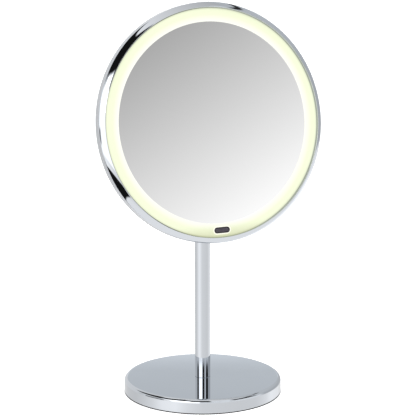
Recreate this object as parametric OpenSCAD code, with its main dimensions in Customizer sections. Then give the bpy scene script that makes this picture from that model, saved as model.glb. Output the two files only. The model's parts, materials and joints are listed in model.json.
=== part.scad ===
// Lighted vanity mirror: a round tilting head with an opal light ring, on a chrome pole and a
// weighted round base. The head swivels on the pole, tilts on a cross pin behind its back and runs
// on four cells behind a sliding door. The model stands on z = 0 and faces -Y. +Z is up.

/* [Base] */
// Diameter of the base
base_d = 138.2; // [130:0.1:150]
// Height of the base from the table to its top face
base_h = 12.7; // [12.7:0.1:15]
// Radius of the rounded top edge of the base
base_edge_r = 3.2; // [2.4:0.1:4]

/* [Pole] */
// Outer diameter of the pole
pole_d = 13.6; // [13:0.1:13.6]
// Height of the tilt axis above the table
pivot_h = 239.5; // [200:0.5:300]

/* [Head] */
// Outer diameter of the head
head_d = 205.2; // [205:0.1:206]
// Diameter of the light ring where the bezel ends
light_d = 194.8; // [194.6:0.1:195]
// Diameter of the mirror that shows inside the light ring
mirror_d = 171.6; // [171.2:0.1:172]
// Angle by which the head leans back at rest
head_tilt = 11; // [0:1:20]
// Distance from the tilt axis to the plane of the light ring
pivot_to_face = 25; // [25:0.1:28]
// Depth of the rear housing behind the plane of the light ring
housing_depth = 17.3; // [17:0.1:17.4]

/* [Controls] */
// Length of the push button
button_l = 12.8; // [10:0.1:13]
// Width of the push button
button_w = 3.6; // [3.4:0.1:4.2]
// Number of LEDs around the ring
led_count = 40; // [24:2:44]

/* [Hidden] */
$fn = 96;
eps = 0.01;

// Base
base_r = base_d / 2;
cover_t = 1;
cover_z = 0.6;
pad_t = 2;
pad_gap = 0.7;
weight_gap = 0.4;
bolt_r = 3;
bolt_hole_r = 3.3;
bolt_head_r = 5.77;
bolt_head_h = 4;
washer_r = 6.2;
washer_t = 0.5;
counterbore_r = 9;
counterbore_z = 8.5;

// Pole and swivel
pole_r = pole_d / 2;
pole_wall = 1;
tube_bore_r = pole_r - pole_wall;
plug_h = 18;
slip = 0.05;
shoulder_z = pivot_h - 13;
swivel_washer_t = 0.6;
bush_flange_t = 1.6;
bush_top = shoulder_z - swivel_washer_t - 2 * slip;
pole_top = bush_top - bush_flange_t;
bush_spigot_h = 12;
stem_r = 3;
stem_bottom = pole_top - bush_spigot_h - 3;
clip_t = 0.8;
clip_z = pole_top - bush_spigot_h - clip_t - 0.1;
clip_groove_r = 2.3;
clip_r = 4.6;
clip_opening = 3.2;

// Hinge
collar_h = 3.5;
eye_r = 5;
eye_w = 9;
pin_r = 2;
hinge_washer_t = 0.5;
bolt_cap_r = 3.8;
bolt_cap_t = 2.2;
hex_key_r = 1.7;
hex_key_depth = 1.2;
nut_r = 4.04;
nut_t = 3.2;
thread_end = 0.8;
ear_t = 2.5;
ear_x = eye_w / 2 + hinge_washer_t + 2 * slip;
bracket_t = 2;
bracket_w = 34;
bracket_low = -8;
bracket_high = 22;
bracket_screws_x = 13;
bracket_screws_y = [-3, 17];

// Head: depths are measured back from the plane of the light ring
head_r = head_d / 2;
light_r = light_d / 2;
mirror_r = mirror_d / 2;
mirror_hidden = 0.8;
mirror_front = 1;
mirror_t = 2.5;
tape_t = 0.5;
carrier_t = 1.5;
carrier_front = mirror_front + mirror_t + tape_t;
carrier_back = carrier_front + carrier_t;
trough_in = mirror_r + 2.2;
trough_out = light_r + 0.6;
trough_wall = 1.2;
trough_floor = 7;
trough_floor_t = 0.8;
led_board_t = 1;
led_t = 0.7;
led_ring_r = (trough_in + trough_out) / 2;
ring_edge = 1.5;
lip_r = 98;
bezel_front = 0.8;
bezel_edge = 2.9;
bezel_back = 5.4;
bezel_arc_r = 20;
skirt_t = 0.8;
skirt_end = 7;
rim_gap = 0.1;
rim_end = 11.2;
rim_fillet_r = 1.5;
dome_r = 1100;
wall_t = 2;

// Button
button_y = -(light_r + mirror_r) / 2;
button_travel = 0.8;
button_gap = 0.25;
sleeve_t = 0.5;
sleeve_l = button_l + 2 * (button_gap + sleeve_t);
sleeve_w = button_w + 2 * (button_gap + sleeve_t);
diffuser_crown = 0.5;
diffuser_flange = 0.9;
diffuser_back = 2.4;
cap_back = 3.1;
cap_flange_t = 0.5;
switch_top = cap_back + button_travel + 0.2;
plunger_into = 0.5;

// Battery bay
cell_r = 5.25;
cell_l = 44.5;
cell_nub_r = 1.9;
cell_nub_l = 1;
cell_count = 4;
cell_pitch = 10.7;
spring_l = 4.6;
contact_t = 0.4;
tray_wall = 1.2;
tray_in_w = cell_l + spring_l + 2 * contact_t;
tray_in_h = cell_count * cell_pitch + 0.6;
tray_w = tray_in_w + 2 * tray_wall;
tray_h = tray_in_h + 2 * tray_wall;
tray_floor_t = 1;
tray_front = carrier_back + 0.1;
cell_depth = tray_front + tray_floor_t + cell_r + 0.1;
bay_w = tray_w + 0.6;
bay_h = tray_h + 0.6;
bay_y = 52;
bay_wall = 2;
door_t = 1.5;
door_front = cell_depth + cell_r + 0.7;
door_gap = 0.3;
tongue_w = 1.2;
tongue_t = 0.7;
bay_back = door_front + door_t + 0.2;
bay_low = bay_y - bay_h / 2;
bay_high = bay_y + bay_h / 2;

// Screws, boards and leads inside the head
screw_r = 1.3;
screw_head_r = 2.6;
screw_seat = 10.8;
screw_head_t = 1.5;
boss_r = 4.4;
boss_back = 12.6;
slot_t = 0.8;
bracket_screw_r = 1.5;
bracket_head_r = 2.8;
bracket_head_t = 1.8;
bracket_boss_r = 3.6;
bracket_boss_front = 10;
bracket_seat_front = 14;
beyond = 30;
housing_screw_ring = 78;
housing_screw_angles = [-90, -35, 15, 58, 122, 165, 215];
board_w = 44;
board_h = 24;
board_y = -48;
board_front = 8.5;
board_t = 1.2;
post_r = 2.5;
post_hole_r = 0.9;
switch_w = 6;
plunger_r = 1.3;

// Leads: each place is [x, y, depth] on the head
wire_r = 0.5;
joint_swell = 1.15;
wire_spread = 0.8;
wire_notch_w = 4;
wire_notch_x = 2.8;
contact_w = 9;
supply_path = [[2.8, 31.75, 7.75], [2.8, 25.5, 8], [2.8, 10, 8.5], [3.8, -12, 9], [4.8, -28, 11],
               [4.8, -37.5, 11]];
led_wire_hole = [-15, -90.5];
led_path = [[-17.5, -56, 10.25], [-18, -62, 11], [-18, -74, 9.6], [-16, -84, 8.6], [-15, -90.5, 8.4],
            [-15, -90.5, 7]];

// Points along an arc, from angle a0 to angle a1, in n steps
function arc(cx, cy, r, a0, a1, n = 10) =
    [for (i = [0:n]) let (a = a0 + (a1 - a0) * i / n) [cx + r * cos(a), cy + r * sin(a)]];

// Height of the domed back of the housing at distance x from the head's axis
function dome(x, lift = 0) = lift - housing_depth + dome_r - sqrt(dome_r * dome_r - x * x);

// Puts a shape drawn in the face frame (x right, y up the face, z out of the face) on the head
module on_head() {
    translate([0, 0, pivot_h]) rotate([90 - head_tilt, 0, 0]) translate([0, 0, pivot_to_face]) children();
}

// Upright cylinder between two heights
module cylinder_from(r, z0, z1) {
    translate([0, 0, z0]) cylinder(r = r, h = z1 - z0);
}

// Cylinder along the tilt axis between two places across the hinge
module across(r, x0, x1) {
    translate([x0, 0, pivot_h]) rotate([0, 90, 0]) cylinder(r = r, h = x1 - x0);
}

// Cylinder between two depths behind the plane of the light ring
module disc(r, front, back) {
    translate([0, 0, -back]) cylinder(r = r, h = back - front);
}

module annulus(r_out, r_in, front, back) {
    difference() {
        disc(r_out, front, back);
        disc(r_in, front - 1, back + 1);
    }
}

module box_at(w, h, front, back) {
    translate([-w / 2, -h / 2, -back]) cube([w, h, back - front]);
}

module pill_shape(l, w) {
    square([l - w, w], center = true);
    for (side = [-1, 1]) translate([side * (l - w) / 2, 0]) circle(d = w);
}

module pill(l, w, front, back) {
    translate([0, 0, -back]) linear_extrude(back - front) pill_shape(l, w);
}

module round_rect(w, h, r) {
    square([w - 2 * r, h], center = true);
    square([w, h - 2 * r], center = true);
    for (x = [-1, 1], y = [-1, 1]) translate([x * (w / 2 - r), y * (h / 2 - r)]) circle(r = r);
}

module block(w, h, r, front, back) {
    translate([0, 0, -back]) linear_extrude(back - front) round_rect(w, h, r);
}

// Straight wire runs between points given as [x, y, depth], with round joints
module wire(points, r) {
    for (i = [0:len(points) - 2]) {
        a = [points[i][0], points[i][1], -points[i][2]];
        b = [points[i + 1][0], points[i + 1][1], -points[i + 1][2]];
        run = b - a;
        length = norm(run);
        translate(a) rotate([0, acos(run[2] / length), atan2(run[1], run[0])])
            cylinder(r = r, h = length, $fn = 16);
        if (i > 0) translate(a) sphere(r = r * joint_swell, $fn = 24);
    }
}

// ---- Stand ----

// Pressed and plated shell with a rounded top edge
module base_cover() {
    r = base_edge_r;
    inner_r = base_r - cover_t;
    color([0.78, 0.79, 0.81])
    rotate_extrude($fn = 180)
    polygon(concat(
        [[base_r, cover_z]],
        arc(base_r - r, base_h - r, r, 0, 90),
        [[bolt_hole_r, base_h], [bolt_hole_r, base_h - cover_t]],
        arc(base_r - r, base_h - r, r - cover_t, 90, 0),
        [[inner_r, cover_z]]));
}

// Cast weight that fills the shell, with a counterbore for the bolt's head
module base_weight() {
    r = base_r - cover_t - weight_gap;
    top = base_h - cover_t;
    chamfer = base_edge_r - cover_t + 0.3;
    color([0.25, 0.25, 0.27])
    rotate_extrude($fn = 120)
    polygon([[bolt_hole_r, top], [r - chamfer, top], [r, top - chamfer], [r, pad_t],
             [counterbore_r, pad_t], [counterbore_r, counterbore_z], [bolt_hole_r, counterbore_z]]);
}

module base_pad() {
    color([0.08, 0.08, 0.09]) cylinder(r = base_r - cover_t - pad_gap, h = pad_t, $fn = 120);
}

// Bolt that clamps the pole to the base from below
module pole_bolt() {
    head_z = counterbore_z - washer_t - bolt_head_h;
    color([0.6, 0.6, 0.62]) {
        translate([0, 0, head_z]) cylinder(r = bolt_head_r, h = bolt_head_h, $fn = 6);
        cylinder_from(bolt_r, head_z + bolt_head_h - eps, base_h + 13);
    }
}

module pole_washer() {
    color([0.65, 0.65, 0.67])
    difference() {
        cylinder_from(washer_r, counterbore_z - washer_t, counterbore_z);
        cylinder_from(bolt_hole_r, counterbore_z - 2, counterbore_z + 1);
    }
}

// Threaded insert pressed into the foot of the tube
module pole_plug() {
    color([0.7, 0.58, 0.3])
    difference() {
        cylinder_from(tube_bore_r, base_h, base_h + plug_h);
        cylinder_from(bolt_r + slip, base_h - 1, base_h + plug_h + 1);
    }
}

module pole_tube() {
    color([0.8, 0.81, 0.83])
    difference() {
        cylinder_from(pole_r, base_h, pole_top);
        cylinder_from(tube_bore_r, base_h - 1, pole_top + 1);
    }
}

// Flanged bush in the top of the tube, in which the knuckle's stem turns
module pole_bush() {
    color([0.8, 0.81, 0.83])
    difference() {
        union() {
            cylinder_from(tube_bore_r, pole_top - bush_spigot_h, pole_top + eps);
            cylinder_from(pole_r, pole_top, bush_top);
        }
        cylinder_from(stem_r + slip, pole_top - bush_spigot_h - 1, bush_top + 1);
    }
}

// ---- Swivel knuckle ----

module swivel_knuckle() {
    color([0.75, 0.76, 0.78])
    difference() {
        union() {
            cylinder_from(stem_r, stem_bottom, shoulder_z + eps);
            cylinder_from(pole_r, shoulder_z, shoulder_z + collar_h);
            translate([-eye_w / 2, -eye_r, shoulder_z + collar_h - eps])
                cube([eye_w, 2 * eye_r, pivot_h - shoulder_z - collar_h]);
            across(eye_r, -eye_w / 2, eye_w / 2);
        }
        across(pin_r + slip, -eye_w, eye_w);
        translate([0, 0, clip_z]) difference() {
            cylinder(r = stem_r + 1, h = clip_t + slip);
            translate([0, 0, -1]) cylinder(r = clip_groove_r, h = clip_t + 2);
        }
    }
}

module swivel_washer() {
    color([0.9, 0.9, 0.88])
    difference() {
        cylinder_from(pole_r - 0.3, bush_top + slip, shoulder_z - slip);
        cylinder_from(stem_r + 0.1, bush_top - 1, shoulder_z + 1);
    }
}

// Retaining clip in the groove at the foot of the stem
module stem_clip() {
    color([0.35, 0.35, 0.37])
    difference() {
        cylinder_from(clip_r, clip_z, clip_z + clip_t);
        cylinder_from(clip_groove_r, clip_z - 1, clip_z + clip_t + 1);
        translate([-clip_opening / 2, 0, clip_z - 1]) cube([clip_opening, clip_r + 1, clip_t + 2]);
    }
}

// ---- Hinge ----

module hinge_bolt() {
    reach = ear_x + ear_t;
    color([0.6, 0.6, 0.62]) {
        across(pin_r, -reach - eps, reach + nut_t + thread_end);
        difference() {
            across(bolt_cap_r, -reach - bolt_cap_t, -reach);
            translate([-reach - bolt_cap_t - 1, 0, pivot_h]) rotate([0, 90, 0])
                cylinder(r = hex_key_r, h = hex_key_depth + 1, $fn = 6);
        }
    }
}

module hinge_nut() {
    color([0.6, 0.6, 0.62])
    difference() {
        translate([ear_x + ear_t, 0, pivot_h]) rotate([0, 90, 0]) cylinder(r = nut_r, h = nut_t, $fn = 6);
        across(pin_r, ear_x, ear_x + ear_t + nut_t + 1);
    }
}

// Two friction discs, one on each side of the knuckle's eye
module hinge_washers() {
    color([0.9, 0.9, 0.88])
    for (side = [-1, 1]) {
        x0 = side > 0 ? eye_w / 2 + slip : -eye_w / 2 - slip - hinge_washer_t;
        difference() {
            across(eye_r - 0.2, x0, x0 + hinge_washer_t);
            across(pin_r, x0 - 1, x0 + hinge_washer_t + 1);
        }
    }
}

// U bracket: a plate on the housing's back and two ears that carry the pin
module head_bracket() {
    plate_back = housing_depth + bracket_t;
    plate_y = (bracket_low + bracket_high) / 2;
    color([0.7, 0.71, 0.73])
    on_head() difference() {
        union() {
            translate([0, plate_y, 0])
                block(bracket_w, bracket_high - bracket_low, 3, housing_depth, plate_back);
            for (side = [-1, 1]) translate([side * (ear_x + ear_t / 2), 0, 0]) {
                translate([-ear_t / 2, 0, -pivot_to_face]) rotate([0, 90, 0]) cylinder(r = eye_r, h = ear_t);
                translate([-ear_t / 2, -eye_r, -pivot_to_face])
                    cube([ear_t, 2 * eye_r, pivot_to_face - plate_back + eps]);
            }
        }
        translate([-bracket_w, 0, -pivot_to_face]) rotate([0, 90, 0])
            cylinder(r = pin_r + eps, h = 2 * bracket_w);
        bracket_screw_places() disc(bracket_screw_r + 0.2, 0, plate_back + 1);
    }
}

module bracket_screw_places() {
    for (x = [-1, 1], y = bracket_screws_y) translate([x * bracket_screws_x, y, 0]) children();
}

module bracket_screws() {
    plate_back = housing_depth + bracket_t;
    color([0.55, 0.55, 0.57])
    on_head() bracket_screw_places() difference() {
        union() {
            disc(bracket_screw_r, bracket_boss_front + 2, plate_back + eps);
            disc(bracket_head_r, plate_back, plate_back + bracket_head_t);
        }
        cross_slot(bracket_head_r + 0.2, plate_back + 1);
    }
}

// Cross recess that opens at the back of a screw's head
module cross_slot(l, floor_depth) {
    for (turn = [0, 90]) rotate([0, 0, turn]) box_at(l, slot_t, floor_depth, floor_depth + 3);
}

// ---- Head: shells ----

// Domed dish with the battery bay, the bracket's seat and the screw bosses
module rear_housing() {
    color([0.74, 0.75, 0.77])
    on_head() difference() {
        union() {
            housing_shell();
            bay_walls();
            translate([0, (bracket_low + bracket_high) / 2, 0])
                block(bracket_w + 2, bracket_high - bracket_low + 2, 4, bracket_seat_front, housing_depth);
            bracket_screw_places() disc(bracket_boss_r, bracket_boss_front, bracket_seat_front + 1);
            housing_screw_places() disc(boss_r, carrier_back + 0.1, boss_back);
        }
        translate([0, bay_y, 0]) box_at(bay_w, bay_h, 0, beyond);
        translate([0, bay_high, 0]) box_at(bay_w, 3 * bay_wall, door_front - door_gap, beyond);
        translate([0, bay_y + bay_wall, 0])
            box_at(bay_w + 2 * tongue_w, bay_h + 2 * bay_wall, door_front,
                   door_front + tongue_t + 2 * door_gap);
        translate([wire_notch_x, bay_low, 0]) box_at(wire_notch_w, 3 * bay_wall, 0, supply_path[0][2] + 1);
        bracket_screw_places() disc(bracket_screw_r, 0, beyond);
        housing_screw_places() {
            disc(screw_r + 0.2, 0, beyond);
            disc(screw_head_r + 0.4, screw_seat, beyond);
        }
    }
}

module housing_shell() {
    shell_edge = head_r - rim_fillet_r;
    steps = 14;
    rotate_extrude($fn = 180)
    polygon(concat(
        [[head_r, -bezel_back - rim_gap]],
        arc(head_r - rim_fillet_r, -rim_end, rim_fillet_r, 0, -80, 6),
        [for (i = [0:steps]) let (x = (shell_edge - 1) * (1 - i / steps)) [x, dome(x)]],
        [for (i = [0:steps]) let (x = (shell_edge - 2) * i / steps) [x, dome(x, wall_t)]],
        [[head_r - wall_t, -bezel_back - rim_gap - 2], [head_r - wall_t, -bezel_back - rim_gap]]));
}

module bay_walls() {
    translate([0, bay_y, 0])
        block(bay_w + 2 * bay_wall, bay_h + 2 * bay_wall, 2.5, carrier_back + 2, bay_back);
}

module housing_screw_places() {
    for (a = housing_screw_angles)
        translate([housing_screw_ring * cos(a), housing_screw_ring * sin(a), 0]) children();
}

module housing_screws() {
    color([0.3, 0.3, 0.32])
    on_head() housing_screw_places() difference() {
        union() {
            disc(screw_r, carrier_front + 0.3, screw_seat + eps);
            disc(screw_head_r, screw_seat, screw_seat + screw_head_t);
        }
        cross_slot(screw_head_r + 0.2, screw_seat + screw_head_t / 2);
    }
}

// Plated trim ring: a convex front that runs out to the head's edge, and a skirt that snaps inside
module front_bezel() {
    across_r = head_r - lip_r;
    drop = bezel_front + bezel_edge;
    half_chord = sqrt(across_r * across_r + drop * drop) / 2;
    rise = sqrt(bezel_arc_r * bezel_arc_r - half_chord * half_chord);
    cx = (lip_r + head_r) / 2 - rise * drop / (2 * half_chord);
    cy = (bezel_front - bezel_edge) / 2 - rise * across_r / (2 * half_chord);
    a0 = atan2(bezel_front - cy, lip_r - cx);
    a1 = atan2(-bezel_edge - cy, head_r - cx);
    skirt_out = head_r - wall_t - 0.2;
    seat_r = light_r + diffuser_flange + 0.2;
    seat_back = ring_edge + diffuser_flange;
    color([0.82, 0.83, 0.86])
    on_head() rotate_extrude($fn = 240)
    polygon(concat(
        arc(cx, cy, bezel_arc_r, a0, a1, 12),
        [[head_r, -bezel_back], [skirt_out, -bezel_back], [skirt_out, -skirt_end],
         [skirt_out - skirt_t, -skirt_end], [skirt_out - skirt_t, -seat_back],
         [seat_r, -seat_back], [seat_r, -ring_edge - slip], [light_r + slip, -ring_edge - slip],
         [lip_r - 0.1, bezel_front]]));
}

// Opal ring with a domed face that falls away to its outer edge, and a slot for the button
module diffuser_ring() {
    middle = (light_r + mirror_r) / 2;
    half_w = light_r - middle;
    inner_drop = diffuser_crown + 0.5;
    outer_drop = diffuser_crown + ring_edge;
    inner_r = (half_w * half_w + inner_drop * inner_drop) / (2 * inner_drop);
    outer_r = (half_w * half_w + outer_drop * outer_drop) / (2 * outer_drop);
    flange_r = light_r + diffuser_flange;
    seat_r = mirror_r + 0.9;
    color([0.98, 1.0, 0.82])
    on_head() difference() {
        rotate_extrude($fn = 240)
        polygon(concat(
            arc(middle, diffuser_crown - inner_r, inner_r, 90 + asin(half_w / inner_r), 90, 8),
            arc(middle, diffuser_crown - outer_r, outer_r, 90 - asin(half_w / outer_r) / 8,
                90 - asin(half_w / outer_r), 8),
            [[light_r, -ring_edge - 2 * slip], [flange_r, -ring_edge - 2 * slip],
             [flange_r, -diffuser_back], [seat_r, -diffuser_back], [seat_r, -mirror_front + slip],
             [mirror_r, -mirror_front + slip]]));
        translate([0, button_y, 0]) pill(sleeve_l + 2 * slip, sleeve_w + 2 * slip, -5, 5);
    }
}

// ---- Head: mirror ----

module mirror_glass() {
    color([0.75, 0.78, 0.8])
    on_head() disc(mirror_r + mirror_hidden, mirror_front, mirror_front + mirror_t, $fn = 180);
}

module mirror_tape() {
    color([0.2, 0.2, 0.2])
    on_head() annulus(mirror_r - 4, 30, mirror_front + mirror_t, carrier_front);
}

// White moulding: it backs the mirror and forms the trough for the light
module mirror_carrier() {
    wall_in = trough_in - trough_wall;
    wall_out = trough_out + trough_wall;
    rest = diffuser_back + 0.1;
    color([0.93, 0.93, 0.92])
    on_head() difference() {
        union() {
            rotate_extrude($fn = 180)
            polygon([[0, -carrier_front], [wall_in, -carrier_front], [wall_in, -rest], [trough_in, -rest],
                     [trough_in, -trough_floor], [trough_out, -trough_floor], [trough_out, -rest],
                     [wall_out, -rest], [wall_out, -trough_floor - trough_floor_t],
                     [wall_in, -trough_floor - trough_floor_t], [wall_in, -carrier_back],
                     [0, -carrier_back]]);
            board_posts() disc(post_r, carrier_back - eps, board_front);
        }
        board_posts() disc(post_hole_r, carrier_back + 0.5, board_front + 1);
        housing_screw_places() disc(screw_r, carrier_front - 1, carrier_back + 1);
        translate(led_wire_hole) disc(2 * wire_r + 0.2, trough_floor - 1, trough_floor + 2);
    }
}

module board_posts() {
    for (x = [-1, 1]) translate([x * (board_w / 2 - 4), board_y, 0]) children();
}

// ---- Head: light and control ----

module led_board() {
    color([0.95, 0.95, 0.95])
    on_head() annulus(trough_out - 0.4, trough_in + 0.4, trough_floor - led_board_t, trough_floor);
}

module leds() {
    front = trough_floor - led_board_t - led_t;
    color([1.0, 0.95, 0.6])
    on_head() for (i = [0:led_count - 1]) {
        a = -90 + 360 * (i + 0.5) / led_count;
        if (abs(cos(a) * led_ring_r) > 8 || sin(a) > 0) rotate([0, 0, a]) translate([led_ring_r, 0, 0])
            box_at(2.8, 3.5, front, front + led_t);
    }
}

// Supply board with two screw holes, standing on the carrier's posts
module driver_board() {
    color([0.05, 0.3, 0.15])
    on_head() difference() {
        translate([0, board_y, 0]) box_at(board_w, board_h, board_front, board_front + board_t);
        board_posts() disc(post_hole_r + 0.2, 0, beyond);
    }
}

module driver_parts() {
    back = board_front + board_t;
    on_head() translate([0, board_y, 0]) {
        color([0.1, 0.1, 0.1]) translate([-9, 0, 0]) box_at(5, 5, back, back + 1.2);
        color([0.15, 0.15, 0.15]) translate([3, -6, 0]) disc(3.5, back, back + 2.6);
        color([0.1, 0.15, 0.4]) translate([11, -5, 0]) disc(2.5, back, back + 2.6);
        color([0.95, 0.95, 0.9]) translate([4, 8, 0]) box_at(8, 5, back, back + 2.4);
        color([0.6, 0.45, 0.25]) for (x = [-14, -2]) translate([x, -8, 0]) box_at(1.6, 0.8, back, back + 0.8);
        color([0.7, 0.7, 0.72]) board_posts_local() disc(1.9, back, back + 1.2);
    }
}

module board_posts_local() {
    for (x = [-1, 1]) translate([x * (board_w / 2 - 4), 0, 0]) children();
}

module tact_switch() {
    color([0.12, 0.12, 0.13])
    on_head() translate([0, button_y, 0]) difference() {
        box_at(switch_w, switch_w, switch_top, trough_floor - led_board_t);
        disc(plunger_r + 0.3, 0, switch_top + plunger_into + button_travel + 0.3);
    }
}

module switch_plunger() {
    color([0.8, 0.2, 0.15])
    on_head() translate([0, button_y, 0]) disc(plunger_r, cap_back, switch_top + plunger_into);
}

// Black sleeve that keeps the ring's light out of the gap around the button
module button_sleeve() {
    color([0.03, 0.03, 0.03])
    on_head() translate([0, button_y, 0]) difference() {
        pill(sleeve_l, sleeve_w, -diffuser_crown - 0.05, diffuser_back + 0.1);
        pill(sleeve_l - 2 * sleeve_t, sleeve_w - 2 * sleeve_t, -5, 5);
    }
}

// Pill-shaped cap with a flange that keeps it behind the diffuser
module button_cap() {
    color([0.28, 0.26, 0.3])
    on_head() translate([0, button_y, 0]) {
        pill(button_l, button_w, -diffuser_crown - 0.2, cap_back);
        pill(sleeve_l + 0.4, sleeve_w + 0.2, cap_back - cap_flange_t, cap_back);
    }
}

// ---- Head: batteries ----

module battery_tray() {
    depth = door_front - 1.2;
    color([0.15, 0.15, 0.16])
    on_head() translate([0, bay_y, 0]) difference() {
        box_at(tray_w, tray_h, tray_front, depth);
        box_at(tray_in_w, tray_in_h, tray_front + tray_floor_t, depth + 1);
        translate([wire_notch_x, -tray_h / 2, 0])
            box_at(wire_notch_w, 3 * tray_wall, tray_front + tray_floor_t, supply_path[0][2] + 1);
    }
}

// Places children at each cell, turned so that neighbours lie head to tail
module cell_places() {
    for (i = [0:cell_count - 1]) {
        y = bay_y + (i - (cell_count - 1) / 2) * cell_pitch;
        translate([0, y, -cell_depth]) rotate([0, 0, 180 * (i % 2)]) children();
    }
}

module batteries() {
    x0 = -tray_in_w / 2 + contact_t + spring_l;
    color([0.85, 0.6, 0.2])
    on_head() cell_places() translate([x0, 0, 0]) rotate([0, 90, 0]) {
        cylinder(r = cell_r, h = cell_l - cell_nub_l);
        cylinder(r = cell_nub_r, h = cell_l);
    }
}

module battery_springs() {
    color([0.75, 0.75, 0.78])
    on_head() cell_places() translate([-tray_in_w / 2 + contact_t, 0, 0]) rotate([0, 90, 0])
        cylinder(r1 = 3.6, r2 = 2.2, h = spring_l);
}

// Flat plates at both ends of each cell
module battery_contacts() {
    color([0.78, 0.78, 0.8])
    on_head() cell_places() for (x = [-tray_in_w / 2, tray_in_w / 2 - contact_t])
        translate([x, -contact_w / 2, -contact_w / 2]) cube([contact_t, contact_w, contact_w]);
}

// Sliding door with a tongue on each side and grip ridges
module battery_door() {
    w = bay_w - 2 * door_gap;
    low = bay_low + door_gap;
    high = bay_high + bay_wall;
    ridge_count = 5;
    color([0.74, 0.75, 0.77])
    on_head() translate([0, (low + high) / 2, 0]) {
        box_at(w, high - low, door_front, door_front + door_t);
        box_at(w + 2 * tongue_w, high - low, door_front + door_gap, door_front + door_gap + tongue_t);
        for (i = [0:ridge_count - 1]) translate([0, (high - low) / 2 - 5 - i * 2.2, 0])
            box_at(16, 0.9, door_front + door_t - eps, door_front + door_t + 0.5);
    }
}

// Leads from the cells to the supply board and on to the LED board
module lead_wires() {
    for (side = [-1, 1]) {
        start = [side * (tray_in_w / 2 - contact_t), supply_path[0][1], supply_path[0][2]];
        run = [for (p = supply_path) p + [side * wire_spread, 0, 0]];
        color(side > 0 ? [0.75, 0.1, 0.1] : [0.1, 0.1, 0.1]) on_head() wire(concat([start], run), wire_r);
    }
    color([0.75, 0.1, 0.1]) on_head() wire(led_path, wire_r);
}

base_cover();
base_weight();
base_pad();
pole_bolt();
pole_washer();
pole_plug();
pole_tube();
pole_bush();
swivel_knuckle();
swivel_washer();
stem_clip();
hinge_bolt();
hinge_nut();
hinge_washers();
head_bracket();
bracket_screws();
rear_housing();
housing_screws();
front_bezel();
diffuser_ring();
mirror_glass();
mirror_tape();
mirror_carrier();
led_board();
leds();
driver_board();
driver_parts();
tact_switch();
switch_plunger();
button_sleeve();
button_cap();
battery_tray();
batteries();
battery_springs();
battery_contacts();
battery_door();
lead_wires();
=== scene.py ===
"""Lighted vanity mirror: the looks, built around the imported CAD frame.

Everything is in metres in the CAD's own frame: the base stands on z = 0 and the mirror faces -Y.
Pieces on the head are drawn in the face frame (x right, y up the face, z out of the face) and placed
by HEAD. The studio is painted on the world by direction, because polished chrome shows all of it.
"""

import json
import math

import bmesh
import bpy
from mathutils import Matrix, Vector


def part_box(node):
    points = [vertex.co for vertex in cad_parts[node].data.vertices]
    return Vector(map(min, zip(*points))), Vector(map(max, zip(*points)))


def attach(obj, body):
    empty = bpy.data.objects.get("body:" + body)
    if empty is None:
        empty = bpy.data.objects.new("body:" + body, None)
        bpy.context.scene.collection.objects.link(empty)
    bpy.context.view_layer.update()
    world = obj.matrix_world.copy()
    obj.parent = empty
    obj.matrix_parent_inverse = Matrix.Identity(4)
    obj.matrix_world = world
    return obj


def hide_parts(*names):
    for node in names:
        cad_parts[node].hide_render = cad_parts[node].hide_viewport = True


MM = 0.001

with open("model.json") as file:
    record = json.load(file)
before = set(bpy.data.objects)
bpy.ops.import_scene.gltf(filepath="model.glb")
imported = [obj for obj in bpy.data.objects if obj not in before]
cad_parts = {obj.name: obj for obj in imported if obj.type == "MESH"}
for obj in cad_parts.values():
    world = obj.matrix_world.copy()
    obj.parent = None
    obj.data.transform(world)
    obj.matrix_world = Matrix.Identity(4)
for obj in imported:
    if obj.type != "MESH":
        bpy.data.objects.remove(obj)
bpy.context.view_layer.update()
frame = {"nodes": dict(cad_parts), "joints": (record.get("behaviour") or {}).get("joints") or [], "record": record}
nodes = frame["nodes"]
joints = {joint["name"]: joint for joint in frame["joints"]}

# The face frame of the head, from the joints: the pivot, and the door's slide along the face
PIVOT_TO_FACE = 25 * MM
pivot = Vector(joints["head_tilt"]["pos_m"])
face_right = Vector((1, 0, 0))
face_up = Vector(joints["battery_door_slide"]["axis"]).normalized()
face_out = face_right.cross(face_up)
face_turn = Matrix((face_right, face_up, face_out)).transposed().to_4x4()
HEAD = Matrix.Translation(pivot + PIVOT_TO_FACE * face_out) @ face_turn

# The button's place on the face, from the CAD
low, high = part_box("button_sleeve")
BUTTON_Y = (HEAD.inverted() @ ((low + high) / 2)).y
SLEEVE_R = 2.55 * MM
BUTTON_STRAIGHT = high.x - SLEEVE_R


# ---- Camera ----

CAMERA_HEADING = math.radians(-23.15)   # from straight in front, towards the object's left
CAMERA_DISTANCE = 1.717
CAMERA_HEIGHT = 0.5558
CAMERA_PITCH = math.radians(-12.816)
CAMERA_PAN = math.radians(-0.144)
CAMERA_LENS = 176.0

camera_data = bpy.data.cameras.new("camera")
camera_data.lens = CAMERA_LENS
camera_data.sensor_width = 36
camera_data.clip_end = 50
camera = bpy.data.objects.new("camera", camera_data)
bpy.context.scene.collection.objects.link(camera)
camera.location = (CAMERA_DISTANCE * math.sin(CAMERA_HEADING),
                   -CAMERA_DISTANCE * math.cos(CAMERA_HEADING), CAMERA_HEIGHT)
camera.rotation_euler = (math.pi / 2 + CAMERA_PITCH, 0, CAMERA_HEADING + CAMERA_PAN)
bpy.context.scene.camera = camera
bpy.context.scene.view_settings.view_transform = "Standard"


# ---- Node helpers ----

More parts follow.
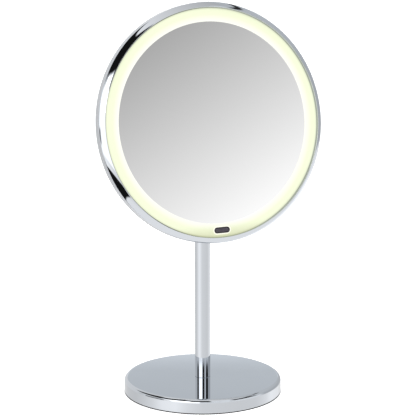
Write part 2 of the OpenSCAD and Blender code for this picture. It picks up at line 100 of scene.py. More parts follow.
class Graph:
    """Adds nodes to a tree, so that a formula reads in one line. Values may be sockets or constants."""

    def __init__(self, tree):
        self.tree = tree

    def add(self, kind, **settings):
        node = self.tree.nodes.new(kind)
        for name, value in settings.items():
            setattr(node, name, value)
        return node

    def feed(self, socket, value):
        if isinstance(value, bpy.types.NodeSocket):
            self.tree.links.new(value, socket)
        elif isinstance(value, tuple) and len(value) == 3 and socket.type == "RGBA":
            socket.default_value = (*value, 1)
        else:
            socket.default_value = value

    def math(self, operation, *values):
        node = self.add("ShaderNodeMath", operation=operation)
        for socket, value in zip(node.inputs, values):
            self.feed(socket, value)
        return node.outputs[0]

    def mix(self, factor, first, second):
        node = self.add("ShaderNodeMix", data_type="RGBA")
        self.feed(node.inputs[0], factor)
        self.feed(node.inputs[6], first)
        self.feed(node.inputs[7], second)
        return node.outputs[2]

    def ramp_between(self, value, low, high, to_low=0.0, to_high=1.0, smooth=True):
        node = self.add("ShaderNodeMapRange", interpolation_type="SMOOTHSTEP" if smooth else "LINEAR")
        for socket, given in zip(node.inputs, (value, low, high, to_low, to_high)):
            self.feed(socket, given)
        return node.outputs[0]

    def stops(self, factor, stops):
        """A colour ramp through (position, colour) stops."""
        node = self.add("ShaderNodeValToRGB")
        ramp = node.color_ramp
        ramp.interpolation = "LINEAR"
        while len(ramp.elements) < len(stops):
            ramp.elements.new(0.5)
        for element, (position, colour) in zip(ramp.elements, stops):
            element.position = position
            element.color = (*colour, 1)
        self.feed(node.inputs[0], factor)
        return node.outputs[0]

    def noise(self, scale, detail, roughness=0.5):
        node = self.add("ShaderNodeTexNoise")
        self.feed(node.inputs["Scale"], scale)
        self.feed(node.inputs["Detail"], detail)
        self.feed(node.inputs["Roughness"], roughness)
        self.feed(node.inputs["Vector"], self.place())
        return node.outputs["Fac"]

    def length(self, first, second):
        """The length of the hypotenuse over two sides."""
        squares = self.math("ADD", self.math("MULTIPLY", first, first), self.math("MULTIPLY", second, second))
        return self.math("SQRT", squares)

    def on_face(self):
        """The point's place on the mirror's face: metres to the right and up from its centre."""
        offset = self.add("ShaderNodeVectorMath", operation="SUBTRACT")
        self.feed(offset.inputs[0], self.place())
        self.feed(offset.inputs[1], HEAD.translation)
        found = []
        for axis in (face_right, face_up):
            along = self.add("ShaderNodeVectorMath", operation="DOT_PRODUCT")
            self.feed(along.inputs[0], offset.outputs[0])
            self.feed(along.inputs[1], axis)
            found.append(along.outputs["Value"])
        return found

    def place(self):
        """The point in the object's own coordinates, in metres."""
        return self.add("ShaderNodeTexCoord").outputs["Object"]


# ---- Studio ----

def band(graph, value, low, high, soft):
    """1 between low and high, falling to 0 over soft on either side."""
    rise = graph.ramp_between(value, low - soft, low + soft)
    fall = graph.ramp_between(value, high - soft, high + soft, 1.0, 0.0)
    return graph.math("MULTIPLY", rise, fall)


def grey(value, blue=0.0):
    """A studio grey that leans towards blue by the given share."""
    return (value * (1 - blue), value, value * (1 + blue))


# The studio's directions are in degrees: azimuth round from the camera, elevation up from the horizon.
# A range across or up is given as (low, high, softness)

# Walls: grey by elevation, paler behind on the left and all round the front
WALL_HEIGHT = (-10, 60)
WALL = [(0.0, grey(0.62, 0.02)), (0.25, grey(0.59, 0.03)), (0.45, grey(0.66, 0.03)),
        (0.7, grey(0.73, 0.03)), (1.0, grey(0.67, 0.03))]
LEFT_ACROSS, LEFT_TONE = (-200, -100, 12), grey(0.90, 0.01)
FRONT_ACROSS, FRONT_TONE = (-95, 95, 8), grey(1.05, 0.02)

# The patch of wall behind the object, and its fade by elevation along the patch's lower edge
PATCH_ACROSS, PATCH_UP = (170, 200, 3), (14.5, 40, 1)
PATCH_HEIGHT = (16.8, 18.3)
PATCH = [(0.0, grey(0.93, 0.05)), (0.12, grey(0.87, 0.05)), (0.28, grey(0.76, 0.05)),
         (0.4, grey(0.71, 0.05)), (1.0, grey(0.68, 0.05))]

# Ceiling: where it takes over from the walls. It is brighter towards the left front: the weights of x and
# y in how far a direction leans that way, the span of that lean, and the brightness at its two ends
CEILING_FROM = (56, 64)
CEILING_LEAN = (-0.69, -0.40)
CEILING_SPAN = (-0.42, 0.26)
CEILING_TONE = (0.62, 1.16)

# Floor: where it takes over from the walls, and where its near part takes over from the sweep
SWEEP_FROM = (-10, -12.5)
NEAR_FROM, NEAR_TONE = (-22, -40), grey(1.15)

# Brightness of the floor sweep seen from just above it, by azimuth
SWEEP = [(-180, 0.84), (-140, 0.80), (-115, 0.82), (-95, 0.92), (-80, 1.02), (-62, 1.25), (-40, 1.30),
         (-20, 1.10), (0, 0.98), (25, 0.96), (60, 0.92), (85, 0.94), (105, 1.08), (122, 1.18),
         (142, 1.02), (165, 0.88), (180, 0.84)]

# Panels: name, azimuth range, low and high edge as (elevation at azimuth 0, slope by azimuth), softness
# across and up, colour. Later ones lie over earlier ones
PANELS = [
    ("left wing", (-125, -68), (28, 0), (60, 0), (4, 3), grey(0.04)),
    ("left gap", (-90, -58), (-8, 0), (14, 0), (2, 2), grey(0.25)),
    ("left flag", (-87, -50), (17.2, 0), (18.6, 0), (2, 0.15), grey(0.03)),
    ("right flag", (49, 92), (17.2, 0), (18.6, 0), (2, 0.15), grey(0.03)),
    ("right card", (49, 92), (25, 0), (50, 0), (2, 2), grey(0.03)),
    ("soft box", (-57, -4), (-12, 0), (39, 0), (1.5, 1.5), grey(1.65)),
    ("soft box core", (-50, -4), (17.2, 0), (38, 0), (1.5, 0.15), grey(2.50)),
    ("soft box corner", (-64, -46), (34.5, 0), (60, 0), (4, 9), grey(0.03)),
    ("camera flag", (-4, 28), (17.2, 0), (18.6, 0), (2, 0.15), grey(0.03)),
    ("camera card", (-19, 14), (28, 0), (66, 0), (2, 2), grey(0.01)),
    ("upper flag", (-92, -4), (40, 0), (61, -0.2), (1.5, 1.5), grey(0.01)),
    ("upper strip", (97, 146), (62.5, -0.12), (66.5, -0.12), (1.2, 1.2), grey(0.03)),
    ("soft box notch", (-60, -46), (-5, 0), (5, 0), (1.5, 2), grey(0.35)),
    ("lower flag", (-100, -6), (-24, 0.5), (-19.4, 0), (1.5, 1.0), grey(0.01)),
    ("bright corner", (112, 150), (-60, 0), (-20, 0), (6, 6), grey(1.45)),
]

# The pale gradient that the mirror looks into: its ranges, its middle as (azimuth, elevation), how bright
# the middle shows, and how fast that grows by azimuth and by elevation, in display levels out of 255
MIRROR_ACROSS, MIRROR_UP = (40, 51, 2), (4, 14, 1.5)
MIRROR_AIM = (46.5, 9.8)
MIRROR_LEVEL = 211.0
MIRROR_SLOPE = (6.5, -13.3)
DISPLAY_GAMMA = 2.2
GLASS_SILVER = 0.9      # the share of light that the glass gives back


def paint_world():
    world = bpy.data.worlds.new("studio")
    bpy.context.scene.world = world
    world.use_nodes = True
    world.node_tree.nodes.clear()
    graph = Graph(world.node_tree)
    direction = graph.add("ShaderNodeTexCoord").outputs["Generated"]
    turn = graph.add("ShaderNodeVectorRotate", rotation_type="Z_AXIS")
    graph.feed(turn.inputs["Vector"], direction)
    graph.feed(turn.inputs["Angle"], -CAMERA_HEADING)
    parts = graph.add("ShaderNodeSeparateXYZ")
    graph.feed(parts.inputs[0], turn.outputs[0])
    x, y, z = parts.outputs
    azimuth = graph.math("DEGREES", graph.math("ARCTAN2", x, graph.math("MULTIPLY", y, -1.0)))
    elevation = graph.math("DEGREES", graph.math("ARCSINE", z))

    wall = graph.stops(graph.ramp_between(elevation, *WALL_HEIGHT, smooth=False), WALL)
    colour = graph.mix(band(graph, azimuth, *LEFT_ACROSS), wall, LEFT_TONE)
    colour = graph.mix(band(graph, azimuth, *FRONT_ACROSS), colour, FRONT_TONE)
    patch = graph.stops(graph.ramp_between(elevation, *PATCH_HEIGHT, smooth=False), PATCH)
    behind = graph.math("MULTIPLY", band(graph, graph.math("ABSOLUTE", azimuth), *PATCH_ACROSS),
                        band(graph, elevation, *PATCH_UP))
    colour = graph.mix(behind, colour, patch)

    lean = graph.math("ADD", graph.math("MULTIPLY", x, CEILING_LEAN[0]),
                      graph.math("MULTIPLY", y, CEILING_LEAN[1]))
    ceiling = graph.ramp_between(lean, *CEILING_SPAN, *CEILING_TONE, smooth=False)
    colour = graph.mix(graph.ramp_between(elevation, *CEILING_FROM), colour, ceiling)

    around = graph.ramp_between(azimuth, -180, 180, smooth=False)
    low = graph.stops(around, [((a + 180) / 360, grey(v)) for a, v in SWEEP])
    low = graph.mix(graph.ramp_between(elevation, *NEAR_FROM), low, NEAR_TONE)
    colour = graph.mix(graph.ramp_between(elevation, *SWEEP_FROM), colour, low)

    for _, across, low_edge, high_edge, soft, tone in PANELS:
        floor_of = graph.math("ADD", graph.math("MULTIPLY", azimuth, low_edge[1]), low_edge[0])
        top_of = graph.math("ADD", graph.math("MULTIPLY", azimuth, high_edge[1]), high_edge[0])
        above = graph.ramp_between(graph.math("SUBTRACT", elevation, floor_of), -soft[1], soft[1])
        below = graph.ramp_between(graph.math("SUBTRACT", top_of, elevation), -soft[1], soft[1])
        mask = graph.math("MULTIPLY", band(graph, azimuth, *across, soft[0]),
                          graph.math("MULTIPLY", above, below))
        colour = graph.mix(mask, colour, tone)

    across = graph.math("MULTIPLY", graph.math("SUBTRACT", azimuth, MIRROR_AIM[0]), MIRROR_SLOPE[0])
    upward = graph.math("MULTIPLY", graph.math("SUBTRACT", elevation, MIRROR_AIM[1]), MIRROR_SLOPE[1])
    level = graph.math("DIVIDE", graph.math("ADD", MIRROR_LEVEL, graph.math("ADD", across, upward)), 255.0)
    light = graph.math("POWER", graph.math("MAXIMUM", level, 0.3), DISPLAY_GAMMA)
    tone = graph.math("DIVIDE", light, GLASS_SILVER)
    mask = graph.math("MULTIPLY", band(graph, azimuth, *MIRROR_ACROSS), band(graph, elevation, *MIRROR_UP))
    colour = graph.mix(mask, colour, tone)

    camera_ray = graph.add("ShaderNodeLightPath").outputs["Is Camera Ray"]
    colour = graph.mix(camera_ray, colour, grey(1.0))
    background = graph.add("ShaderNodeBackground")
    graph.feed(background.inputs["Color"], colour)
    output = graph.add("ShaderNodeOutputWorld")
    graph.feed(output.inputs["Surface"], background.outputs[0])


paint_world()


# ---- Materials ----

def new_material(slot):
    """A material with one Principled shader: (graph, shader, material)."""
    material = bpy.data.materials.new(slot)
    material.use_nodes = True
    shader = material.node_tree.nodes["Principled BSDF"]
    return Graph(material.node_tree), shader, material


def scaled(colour, factor):
    return tuple(min(1.0, c * factor) for c in colour)


def finish_material(slot, colour, rough, metallic, mottle, patchy, grain=None):
    """A surface with slow colour mottling, patchy gloss and, where grain=(scale, depth), a fine relief."""
    graph, shader, material = new_material(slot)
    scale, amount = mottle
    tone = graph.mix(graph.ramp_between(graph.noise(scale, 3), 0.3, 0.7),
                     scaled(colour, 1 - amount), scaled(colour, 1 + amount))
    graph.feed(shader.inputs["Base Color"], tone)
    scale, amount = patchy
    graph.feed(shader.inputs["Roughness"], graph.ramp_between(graph.noise(scale, 4), 0.3, 0.7,
                                                               max(0.0, rough - amount), rough + amount))
    graph.feed(shader.inputs["Metallic"], metallic)
    if grain:
        scale, depth = grain
        bump = graph.add("ShaderNodeBump")
        graph.feed(bump.inputs["Height"], graph.noise(scale, 4, 0.6))
        graph.feed(bump.inputs["Distance"], depth)
        graph.feed(bump.inputs["Strength"], 1.0)
        graph.feed(shader.inputs["Normal"], bump.outputs[0])
    return material


CHROME = (0.605, 0.63, 0.665)

# Slot: colour, roughness, metallic, mottling and patchiness as (scale, amount), grain as (scale, depth)
FINISHES = {
    "chrome_base": (CHROME, 0.02, 1.0, (14, 0.01), (60, 0.01)),
    "chrome_pole": (CHROME, 0.02, 1.0, (14, 0.01), (60, 0.01)),
    "chrome_knuckle": (CHROME, 0.05, 1.0, (30, 0.02), (90, 0.02)),
    "chrome_bezel": (CHROME, 0.02, 1.0, (14, 0.01), (60, 0.01)),
    "housing_silver": ((0.46, 0.47, 0.49), 0.34, 0.55, (9, 0.012), (12, 0.015), (3500, 0.000006)),
    "bracket_steel": ((0.60, 0.61, 0.63), 0.22, 1.0, (25, 0.02), (60, 0.03)),
    "cast_weight": ((0.10, 0.10, 0.11), 0.75, 0.3, (80, 0.3), (200, 0.1), (900, 0.0003)),
    "pad_rubber": ((0.03, 0.03, 0.033), 0.85, 0.0, (50, 0.2), (200, 0.05), (1600, 0.0002)),
    "zinc_steel": ((0.62, 0.63, 0.64), 0.30, 1.0, (150, 0.08), (400, 0.08)),
    "brass_insert": ((0.78, 0.58, 0.28), 0.28, 1.0, (150, 0.08), (400, 0.08)),
    "nylon_washer": ((0.82, 0.82, 0.78), 0.45, 0.0, (100, 0.03), (300, 0.05)),
    "spring_steel": ((0.22, 0.22, 0.25), 0.35, 1.0, (150, 0.1), (400, 0.08)),
    "black_screw": ((0.04, 0.04, 0.042), 0.40, 0.6, (150, 0.1), (400, 0.08)),
    "mirror_glass": ((GLASS_SILVER, GLASS_SILVER, GLASS_SILVER), 0.0, 1.0, (8, 0.002), (20, 0.0)),
    "foam_tape": ((0.08, 0.08, 0.08), 0.9, 0.0, (200, 0.2), (400, 0.05), (2500, 0.0001)),
    "white_moulding": ((0.85, 0.85, 0.83), 0.40, 0.0, (60, 0.02), (150, 0.05), (2000, 0.00002)),
    "led_board_white": ((0.86, 0.86, 0.84), 0.30, 0.0, (80, 0.02), (150, 0.05)),
    "led_chip": ((0.95, 0.80, 0.25), 0.35, 0.0, (500, 0.1), (500, 0.05)),
    "circuit_board": ((0.02, 0.16, 0.06), 0.28, 0.0, (300, 0.15), (400, 0.05)),
    "board_parts": ((0.04, 0.04, 0.045), 0.45, 0.0, (300, 0.1), (400, 0.05)),
    "switch_black": ((0.03, 0.03, 0.032), 0.45, 0.0, (300, 0.1), (400, 0.05)),
    "plunger_red": ((0.55, 0.06, 0.05), 0.40, 0.0, (300, 0.1), (400, 0.05)),
    # The sleeve's near black is partly a real black light seal and partly painted shade for the gap round the
    # button
    "sleeve_black": ((0.008, 0.008, 0.008), 0.6, 0.0, (300, 0.1), (400, 0.05)),
    "button_grey": ((0.050, 0.042, 0.054), 0.35, 0.0, (300, 0.06), (400, 0.05), (4000, 0.00001)),
    "tray_black": ((0.03, 0.03, 0.032), 0.5, 0.0, (80, 0.1), (200, 0.05), (2400, 0.00003)),
    "contact_nickel": ((0.70, 0.69, 0.66), 0.25, 1.0, (200, 0.05), (400, 0.05)),
    "wire_red": ((0.50, 0.03, 0.02), 0.45, 0.0, (200, 0.06), (400, 0.05)),
}

materials = {slot: finish_material(slot, *finish) for slot, finish in FINISHES.items()}
button_shader = materials["button_grey"].node_tree.nodes["Principled BSDF"]
button_shader.inputs["Specular IOR Level"].default_value = 0.25


# The glow of the light ring from the mirror to the bezel, with painted shade in its last stops at the bezel, and
# how far left of the ring it is centred, which paints the right side darker as shade
OPAL_IN, OPAL_OUT = 85.8 * MM, 97.4 * MM
GLOW_SHIFT_SHADES_RIGHT = 0.25 * MM
# The last two stops darken the glow at the bezel: painted shade
GLOW_WITH_EDGE_SHADE = [(0.0, (0.90, 0.90, 0.84)), (0.2, (0.86, 0.88, 0.76)), (0.5, (0.80, 0.85, 0.61)),
        (0.86, (0.79, 0.84, 0.60)), (0.95, (0.66, 0.70, 0.52)), (1.0, (0.52, 0.55, 0.44))]
EDGE_SHADE_LINE = (96.8 * MM, 97.3 * MM)      # radii where the painted shade line at the bezel rises
EDGE_SHADE_FADE = (-60 * MM, 30 * MM)         # where the painted shade line weakens from left to right
FOOT_FADE = (-98 * MM, -84 * MM)        # heights where the dimmer foot fades out
HALO_FADE = (0.3 * MM, 1.5 * MM)        # distances from the button's sleeve where the pale halo fades out


def opal_material():
    """Opal acrylic lit from behind: near white at the mirror, pale yellow-green at the bezel, and darker at
    the very edge and in a thin line there, both painted shade by the bezel."""
    graph, shader, material = new_material("opal_diffuser")
    across, up = graph.on_face()
    # Centred a little left, so that the right side reaches the dark stops sooner: painted shade
    radius = graph.length(graph.math("ADD", across, GLOW_SHIFT_SHADES_RIGHT), up)
    glow_and_shade = graph.stops(graph.ramp_between(radius, OPAL_IN, OPAL_OUT, smooth=False), GLOW_WITH_EDGE_SHADE)
    cloudy = graph.ramp_between(graph.noise(22, 2), 0.3, 0.7, 0.97, 1.0)
    glow_and_shade = graph.mix(cloudy, (0.70, 0.73, 0.48), glow_and_shade)
    # Painted shade: a thin dark line where the opal goes down behind the bezel, stronger on the left
    edge = graph.ramp_between(graph.length(across, up), *EDGE_SHADE_LINE)
    edge = graph.math("MULTIPLY", edge, graph.ramp_between(across, *EDGE_SHADE_FADE, 1.0, 0.2))
    glow_and_shade = graph.mix(edge, glow_and_shade, (0.05, 0.055, 0.045))
    # Dimmer and yellower at the foot
    glow_and_shade = graph.mix(graph.ramp_between(up, *FOOT_FADE, 0.75, 0.0), glow_and_shade, (0.52, 0.55, 0.33))
    # Paler round the button
    past_end = graph.math("SUBTRACT", graph.math("ABSOLUTE", across), BUTTON_STRAIGHT)
    reach = graph.math("MAXIMUM", past_end, 0.0)
    gap = graph.math("SUBTRACT", graph.length(reach, graph.math("SUBTRACT", up, BUTTON_Y)), SLEEVE_R)
    glow_and_shade = graph.mix(graph.ramp_between(gap, *HALO_FADE, 1.0, 0.0), glow_and_shade, (0.96, 0.94, 0.84))
    graph.feed(shader.inputs["Base Color"], (0.10, 0.10, 0.08))
    graph.feed(shader.inputs["Roughness"], graph.ramp_between(graph.noise(60, 3), 0.3, 0.7, 0.3, 0.4))
    graph.feed(shader.inputs["Emission Color"], glow_and_shade)
    graph.feed(shader.inputs["Emission Strength"], 1.0)
    return material


materials["opal_diffuser"] = opal_material()


def cell_material():
    """A battery's printed jacket, dark with a copper band, and its bare steel ends, told apart by the
    cell's own attribute: 0 dark, 1 copper, 2 bare."""
    graph, shader, material = new_material("cell_jacket")
    zone = graph.add("ShaderNodeAttribute", attribute_name="zone").outputs["Fac"]
    bare = graph.math("GREATER_THAN", zone, 1.5)
    printed = graph.mix(graph.math("GREATER_THAN", zone, 0.5), (0.02, 0.02, 0.022), (0.55, 0.26, 0.07))
    scuffed = graph.ramp_between(graph.noise(120, 3), 0.3, 0.7, 0.0, 0.12)
    printed = graph.mix(scuffed, printed, (0.3, 0.25, 0.2))
    graph.feed(shader.inputs["Base Color"], graph.mix(bare, printed, (0.66, 0.65, 0.62)))
    graph.feed(shader.inputs["Metallic"], bare)
    graph.feed(shader.inputs["Roughness"], graph.ramp_between(graph.noise(300, 3), 0.3, 0.7, 0.22, 0.34))
    return material


materials["cell_jacket"] = cell_material()

slot_of = {part["node"]: part["material_slot"] for part in frame["record"]["subparts"]}
for name, node in nodes.items():
    node.data.materials.clear()
    node.data.materials.append(materials[slot_of[name]])
    node.data.shade_smooth()
    node.data.set_sharp_from_angle(angle=math.radians(30))


# ---- Turned pieces ----

def arc(cx, cy, r, start, end, steps):
    """Points on a circle of radius r round (cx, cy), between two angles in degrees."""
    return [(cx + r * math.cos(math.radians(start + (end - start) * i / steps)),
             cy + r * math.sin(math.radians(start + (end - start) * i / steps))) for i in range(steps + 1)]


def rounded(corners, steps=10):
    """Outline in metres through (x, y, fillet) corners in millimetres, each rounded by its fillet."""
    points = []
    for i, (x, y, fillet) in enumerate(corners):
        corner = Vector((x, y))
        back = Vector(corners[i - 1][:2]) - corner
        ahead = Vector(corners[(i + 1) % len(corners)][:2]) - corner
        half = back.angle(ahead) / 2
        if not fillet:
            points.append(corner * MM)
            continue
        reach = fillet / math.tan(half)
        centre = corner + (back.normalized() + ahead.normalized()).normalized() * fillet / math.sin(half)
        start = corner + back.normalized() * reach - centre
        end = corner + ahead.normalized() * reach - centre
        turn = start.angle_signed(end)
        for k in range(steps + 1):
            points.append((centre + Matrix.Rotation(-turn * k / steps, 2) @ start) * MM)
    return [tuple(point) for point in points]


def add_piece(name, mesh, slot, body, stands_for, sharp=28):
    """Makes a new mesh a finished piece: normals out, material, body and the CAD nodes that it stands for."""
    bm = bmesh.new()
    bm.from_mesh(mesh)
    bmesh.ops.remove_doubles(bm, verts=bm.verts, dist=1e-7)
    bmesh.ops.recalc_face_normals(bm, faces=bm.faces)
    bm.to_mesh(mesh)
    bm.free()
    mesh.materials.append(materials[slot])
    mesh.shade_smooth()
    mesh.set_sharp_from_angle(angle=math.radians(sharp))
    piece = bpy.data.objects.new(name, mesh)
    bpy.context.scene.collection.objects.link(piece)
    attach(piece, body)
    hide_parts(*stands_for)
    return piece


def held(profile, hold=0.2 * MM):
    """The closed profile with points added just inside the ends of its long flats, so they shade flat."""
    points = []
    for i, point in enumerate(profile):
        here, ahead = Vector(point), Vector(profile[(i + 1) % len(profile)])
        points.append(here)
        if (ahead - here).length > 10 * hold:
            along = (ahead - here).normalized() * hold
            points += [here + along, ahead - along]
    return points


def lathe(name, profile, slot, body, stands_for, place=Matrix.Identity(4), segments=256):
    """Turns a closed (radius, height) profile about the axis of place and puts it on a body."""
    mesh = bpy.data.meshes.new(name)
    vertices = []
    profile = held(profile)
    for i in range(segments):
        a = 2 * math.pi * i / segments
        for r, z in profile:
            vertices.append(place @ Vector((r * math.cos(a), r * math.sin(a), z)))
    count = len(profile)
    faces = []
    for i in range(segments):
        here, there = i * count, (i + 1) % segments * count
        for j in range(count):
            k = (j + 1) % count
            faces.append((here + j, there + j, there + k, here + k))
    mesh.from_pydata(vertices, [], faces)
    return add_piece(name, mesh, slot, body, stands_for)


body_of = {name: body for body, names in frame["record"]["behaviour"]["bodies"].items() for name in names}


def finish_edges(name, width):
    """A copy of a CAD node with its sharp edges broken by a small round, in place of the node."""
    mesh = nodes[name].data.copy()
    bm = bmesh.new()
    bm.from_mesh(mesh)
    bmesh.ops.remove_doubles(bm, verts=bm.verts, dist=1e-6)
    bmesh.ops.dissolve_limit(bm, angle_limit=math.radians(0.6), verts=bm.verts, edges=bm.edges)
    bm.to_mesh(mesh)
    bm.free()
    mesh.shade_smooth()
    rough = bpy.data.objects.new(name + "_rough", mesh)
    bpy.context.scene.collection.objects.link(rough)
    bevel = rough.modifiers.new("bevel", "BEVEL")
    bevel.width = width * MM
    bevel.segments = 3
    bevel.limit_method = "ANGLE"
    bevel.angle_limit = math.radians(35)
    bevel.use_clamp_overlap = True
    rough.modifiers.new("weights", "WEIGHTED_NORMAL")
    solid = bpy.data.meshes.new_from_object(rough.evaluated_get(bpy.context.evaluated_depsgraph_get()))
    bpy.data.objects.remove(rough)
    solid.name = name + "_finished"
    piece = bpy.data.objects.new(solid.name, solid)
    bpy.context.scene.collection.objects.link(piece)
    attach(piece, body_of[name])
    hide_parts(name)


def islands(name):
    """The separate solids of a CAD node, each as its lowest and highest corners in the face frame."""
    bm = bmesh.new()
    bm.from_mesh(nodes[name].data)
    bmesh.ops.remove_doubles(bm, verts=bm.verts, dist=1e-6)
    to_face = HEAD.inverted()
    seen, found = set(), []
    for start in bm.verts:
        if start in seen:
            continue
        seen.add(start)
        queue, points = [start], []
        while queue:
            vertex = queue.pop()
            points.append(to_face @ vertex.co)
            for edge in vertex.link_edges:
                other = edge.other_vert(vertex)
                if other not in seen:
                    seen.add(other)
                    queue.append(other)
        found.append((Vector(map(min, zip(*points))), Vector(map(max, zip(*points)))))
    bm.free()
    return sorted(found, key=lambda corners: corners[0].y)


def tube(name, points, radius, slot, body, stands_for, sides=10):
    """A round wire of the given radius along points in metres, closed at both ends."""
    vertices, faces = [], []
    normal = None
    for i, point in enumerate(points):
        ahead = (points[min(i + 1, len(points) - 1)] - points[max(i - 1, 0)]).normalized()
        if normal is None:
            normal = ahead.orthogonal().normalized()
        normal = (normal - ahead * normal.dot(ahead)).normalized()
        side = ahead.cross(normal)
        for k in range(sides):
            a = 2 * math.pi * k / sides
            vertices.append(point + radius * (math.cos(a) * normal + math.sin(a) * side))
    for i in range(len(points) - 1):
        for k in range(sides):
            j = (k + 1) % sides
            faces.append((i * sides + k, i * sides + j, (i + 1) * sides + j, (i + 1) * sides + k))
    faces.append(tuple(reversed(range(sides))))
    faces.append(tuple(range((len(points) - 1) * sides, len(points) * sides)))
    mesh = bpy.data.meshes.new(name)
    mesh.from_pydata(vertices, [], faces)
    return add_piece(name, mesh, slot, body, stands_for, sharp=50)


# Metal and moulded parts that show, with the width in millimetres of the round on their edges
EDGE_ROUNDS = {"head_bracket": 0.35, "battery_door": 0.3, "swivel_knuckle": 0.5, "hinge_bolt": 0.3,
               "hinge_nut": 0.3, "bracket_screws": 0.2, "housing_screws": 0.2, "pole_bush": 0.3}

for name, width in EDGE_ROUNDS.items():
    finish_edges(name, width)


# Cells: rolled jackets with bare steel ends, head to tail, and a coil spring behind each. In millimetres
SHOULDER = 1.0          # from the jacket's end to the tip of the positive stud
STUD_R = 1.9
ROLLED_RIM = 0.9        # width of the jacket's rim, rolled over the steel end
COPPER_FROM = 0.68      # share of the length where the copper band starts


def add_cell(number, extent, points_right):
    """One cell in the box from low to high of extent, with its stud pointing right or left."""
    low, high = extent
    centre = (low + high) / 2
    radius, length = (high.y - low.y) / 2 / MM, (high.x - low.x) / MM
    start = low.x if points_right else high.x
    way = 1 if points_right else -1
    turn = Matrix(((0, 0, way), (0, 1, 0), (-way, 0, 0)))
    place = HEAD @ Matrix.Translation((start, centre.y, centre.z)) @ turn.to_4x4()
    top = length - SHOULDER
    rim = radius - ROLLED_RIM
    profile = rounded([(0, 0, 0), (rim - 0.2, 0, 0.2), (rim, 0.25, 0.05), (radius, 0.25, 0.35),
                       (radius, top - 0.05, 0.4), (rim, top - 0.05, 0.05), (rim - 0.2, top - 0.35, 0.1),
                       (STUD_R, top - 0.35, 0.2), (STUD_R, length, 0.35), (0, length, 0)], 5)
    piece = lathe("cell_%d" % number, profile, "cell_jacket", "head", ["batteries"], place, 72)
    to_cell = place.inverted()
    zones = []
    for vertex in piece.data.vertices:
        spot = to_cell @ vertex.co / MM
        jacket = spot.xy.length > rim - 0.05
        zones.append(2.0 if not jacket else 1.0 if spot.z > COPPER_FROM * length else 0.0)
    piece.data.attributes.new("zone", "FLOAT", "POINT").data.foreach_set("value", zones)


SPRING_WIRE = 0.4 * MM
SPRING_TURNS = 4
SPRING_FOOT_R, SPRING_TIP_R = 3.4 * MM, 2.1 * MM


def add_spring(number, extent, points_right):
    """A conical coil spring across the box from low to high of extent, with flat end turns."""
    low, high = extent
    centre = (low + high) / 2
    steps = 24 * SPRING_TURNS
    points = []
    for i in range(steps + 1):
        t = i / steps
        rise = min(max((t * 1.3 - 0.15), 0.0), 1.0)
        radius = SPRING_FOOT_R + (SPRING_TIP_R - SPRING_FOOT_R) * t
        a = 2 * math.pi * SPRING_TURNS * t
        along = SPRING_WIRE + (high.x - low.x - 2 * SPRING_WIRE) * rise
        x = low.x + along if points_right else high.x - along
        points.append(HEAD @ Vector((x, centre.y + radius * math.cos(a), centre.z + radius * math.sin(a))))
    tube("cell_spring_%d" % number, points, SPRING_WIRE, "contact_nickel", "head", ["battery_springs"])


for number, (cell, spring) in enumerate(zip(islands("batteries"), islands("battery_springs")), 1):
    points_right = spring[0].x < cell[0].x
    add_cell(number, cell, points_right)
    add_spring(number, spring, points_right)

# Base: pressed shell with a rounded top edge
low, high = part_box("base_cover")
base_r, base_top, base_foot = high.x, high.z, low.z
EDGE_R = 3.2 * MM
SHELL = 1.0 * MM
BOLT_HOLE_R = 3.3 * MM
base_profile = (arc(base_r - EDGE_R, base_top - EDGE_R, EDGE_R, 0, 90, 24)
                + [(BOLT_HOLE_R, base_top), (BOLT_HOLE_R, base_top - SHELL)]
                + arc(base_r - EDGE_R, base_top - EDGE_R, EDGE_R - SHELL, 90, 0, 12)
                + [(base_r - SHELL, base_foot), (base_r - 0.7 * SHELL, base_foot),
                   (base_r - 0.3 * SHELL, base_foot), (base_r, base_foot + 0.3 * SHELL)])
lathe("base_shell", base_profile, "chrome_base", "stand", ["base_cover"])

# Pole: plated tube
low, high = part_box("pole_tube")
pole_r, pole_foot, pole_top = high.x, low.z, high.z
TUBE_WALL = 1.0 * MM
BREAK = 0.25 * MM
lathe("pole", [(pole_r, pole_foot + BREAK), (pole_r, pole_top - BREAK), (pole_r - BREAK, pole_top),
               (pole_r - TUBE_WALL, pole_top), (pole_r - TUBE_WALL, pole_foot), (pole_r - BREAK, pole_foot)],
      "chrome_pole", "stand", ["pole_tube"], segments=128)

# Bezel: a plated ring with a proud inner lip, a slightly convex front and a short side wall
low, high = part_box("front_bezel")
rim = high.x / MM
bezel_corners = [(97.45, -1.55, 0.05), (97.93, 0.8, 0.2), (100.54, -0.71, 16), (rim, -2.9, 0.9),
                 (rim, -5.4, 0.15), (rim - 2.2, -5.4, 0), (rim - 2.2, -7, 0.1), (rim - 3, -7, 0.1),
                 (rim - 3, -2.4, 0.1), (98.5, -2.4, 0.1), (98.5, -1.55, 0)]
lathe("bezel", rounded(bezel_corners), "chrome_bezel", "head", ["front_bezel"], HEAD, 360)

# Mirror: silvered glass
low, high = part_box("mirror_glass")
mirror_r = high.x
FRONT = -1.0 * MM
BACK = -3.5 * MM
lathe("mirror", [(0.0, FRONT), (mirror_r, FRONT), (mirror_r, BACK), (0.0, BACK)],
      "mirror_glass", "head", ["mirror_glass"], HEAD)


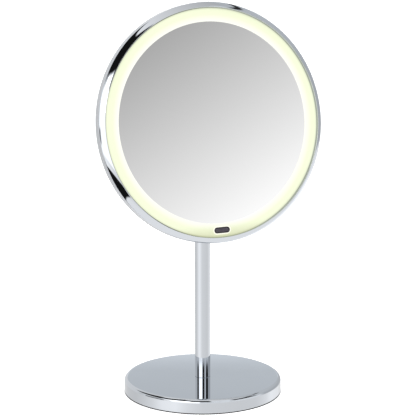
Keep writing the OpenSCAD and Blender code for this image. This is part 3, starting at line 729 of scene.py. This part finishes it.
def stack(name, rings, slot, body, stands_for, place, middle=(0, 0), steps=20):
    """A solid of stacked oblongs, each (half length, half width, height) in millimetres."""
    vertices, faces = [], []
    for half_l, half_w, z in rings:
        for k in range(4 * steps):
            a = 2 * math.pi * (k + 0.5) / (4 * steps)
            side = half_l - half_w if math.cos(a) > 0 else half_w - half_l
            vertices.append(place @ Vector((middle[0] + (side + half_w * math.cos(a)) * MM,
                                            middle[1] + half_w * math.sin(a) * MM, z * MM)))
    count = 4 * steps
    for i in range(len(rings) - 1):
        for k in range(count):
            j = (k + 1) % count
            faces.append((i * count + k, i * count + j, (i + 1) * count + j, (i + 1) * count + k))
    faces.append(tuple(reversed(range(count))))
    faces.append(tuple(range((len(rings) - 1) * count, len(rings) * count)))
    mesh = bpy.data.meshes.new(name)
    mesh.from_pydata(vertices, [], faces)
    return add_piece(name, mesh, slot, body, stands_for)


# Button cap: an oblong with a softly rounded edge and a slightly dished top, on a thin flange. In
# millimetres: half length, half width and edge fillet, and the height where the fillet starts
CAP_L, CAP_W, CAP_EDGE, CAP_SIDE = 6.4, 1.8, 0.4, 0.3
cap_rings = [(7.1, 2.5, -3.1), (7.15, 2.55, -3.05), (7.15, 2.55, -2.65), (7.1, 2.5, -2.6),
             (CAP_L, CAP_W, -2.6), (CAP_L, CAP_W, CAP_SIDE)]
for a in (0.25, 0.5, 0.8, 1.1, 1.4):
    inset = CAP_EDGE * (1 - math.cos(a))
    cap_rings.append((CAP_L - inset, CAP_W - inset, CAP_SIDE + CAP_EDGE * math.sin(a)))
for inset, height in ((0.6, 0.68), (1.0, 0.62), (1.5, 0.6)):
    cap_rings.append((CAP_L - inset, CAP_W - inset, height))
stack("button", cap_rings, "button_grey", "button", ["button_cap"], HEAD, (0, BUTTON_Y))


# ---- Floor and light ----

FLOOR_HALF = 8.0
FLOOR_GAP = 0.2 * MM        # below the base, so that no two faces meet
FLOOR_GLOW = 0.35
CONTACT_SHADOW_HALF_WIDTH = 0.7 * MM          # half the width of the painted contact shadow, a soft dark line where the base meets the floor
LAMP_HEIGHT, LAMP_SIZE, LAMP_POWER = 3.0, 4.0, 120.0
WHITE, BLACK = (1.0, 1.0, 1.0), (0.0, 0.0, 0.0)


def add_floor():
    """Plain white, with a painted contact shadow: a thin dark line round the base's foot."""
    mesh = bpy.data.meshes.new("floor")
    corners = [(x * FLOOR_HALF, y * FLOOR_HALF, 0) for x, y in ((-1, -1), (1, -1), (1, 1), (-1, 1))]
    mesh.from_pydata(corners, [], [(0, 1, 2, 3)])
    floor = bpy.data.objects.new("floor", mesh)
    bpy.context.scene.collection.objects.link(floor)
    floor.location.z = -FLOOR_GAP
    graph, shader, material = new_material("floor_white")
    spot = graph.add("ShaderNodeSeparateXYZ")
    graph.feed(spot.inputs[0], graph.place())
    from_middle = graph.length(spot.outputs[0], spot.outputs[1])
    # Painted contact shadow: black and without glow under the base's edge, fading to white just outside it
    clear = graph.ramp_between(from_middle, base_r - CONTACT_SHADOW_HALF_WIDTH, base_r + CONTACT_SHADOW_HALF_WIDTH)
    graph.feed(shader.inputs["Base Color"], graph.mix(clear, BLACK, (0.9, 0.9, 0.9)))
    graph.feed(shader.inputs["Roughness"], 0.8)
    graph.feed(shader.inputs["Emission Color"], graph.mix(clear, BLACK, WHITE))
    graph.feed(shader.inputs["Emission Strength"], FLOOR_GLOW)
    mesh.materials.append(material)
    floor.visible_glossy = False


def add_light():
    """A broad disc of light overhead, which the chrome doesn't show."""
    light = bpy.data.lights.new("overhead", "AREA")
    light.shape = "DISK"
    light.size = LAMP_SIZE
    light.energy = LAMP_POWER
    lamp = bpy.data.objects.new("overhead", light)
    bpy.context.scene.collection.objects.link(lamp)
    lamp.location = (0, 0, LAMP_HEIGHT)
    lamp.visible_glossy = False


add_floor()
add_light()
